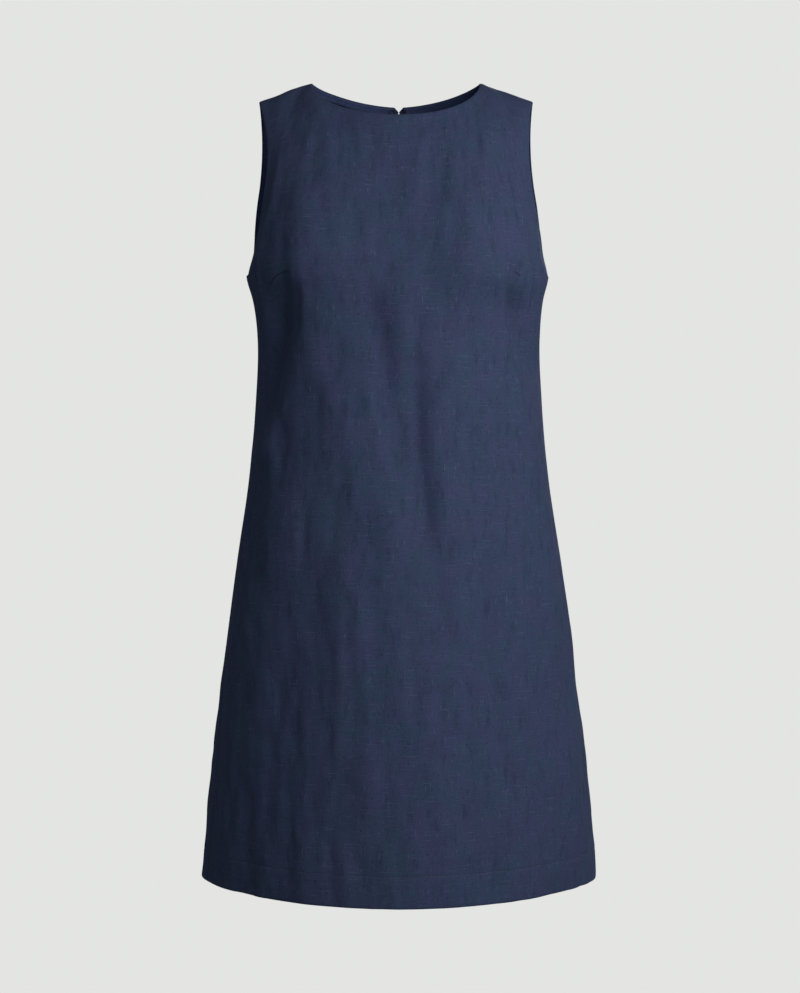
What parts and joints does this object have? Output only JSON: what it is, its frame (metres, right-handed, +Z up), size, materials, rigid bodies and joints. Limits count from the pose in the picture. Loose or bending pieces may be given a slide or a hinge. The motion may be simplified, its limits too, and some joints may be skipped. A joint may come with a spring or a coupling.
{
  "type": "a-line dress",
  "caption": "Sleeveless knee-baring a-line dress in woven cloth, filled out and hollow, with round neck, bust darts, hem and centre-back zip.",
  "frame": {"origin": "midway between the high points of the two shoulders, where the wearer's shoulders carry the dress", "axes": "+Z up along the dress, the front faces -Y, +X is the right-hand side seen from the front"},
  "size_m": [0.433, 0.3242, 0.8734],
  "materials": {
    "dress_cloth": "matt navy plain weave with small slubs",
    "cloth_inside": "matt navy, the inside of the same cloth",
    "zip_tape": "fine woven tape, dark navy",
    "zip_teeth": "satin dark navy",
    "zip_metal": "satin dark navy paint",
    "wire": "satin dark lacquer"
  },
  "bodies": {
    "root": {"front_panel": "dress_cloth", "back_panel_left": "dress_cloth", "back_panel_right": "dress_cloth", "hem_turn_front": "cloth_inside", "hem_turn_back_left": "cloth_inside", "hem_turn_back_right": "cloth_inside", "armhole_facing_left": "cloth_inside", "armhole_facing_right": "cloth_inside", "neck_facing_front": "cloth_inside", "neck_facing_back_left": "cloth_inside", "neck_facing_back_right": "cloth_inside", "zip_tape_left": "zip_tape", "zip_tape_right": "zip_tape", "zip_chain": "zip_teeth", "zip_slider": "zip_metal", "neck_eye": "wire", "neck_hook": "wire"},
    "pull_tab": {"zip_pull": "zip_metal"}
  },
  "joints": [
    {"name": "pull_tab_swing", "type": "hinge", "parent": "root", "child": "pull_tab", "pos_m": [0, 0.06805, -0.02462], "axis": [1, 0, 0], "range_deg": [0, 165]}
  ]
}
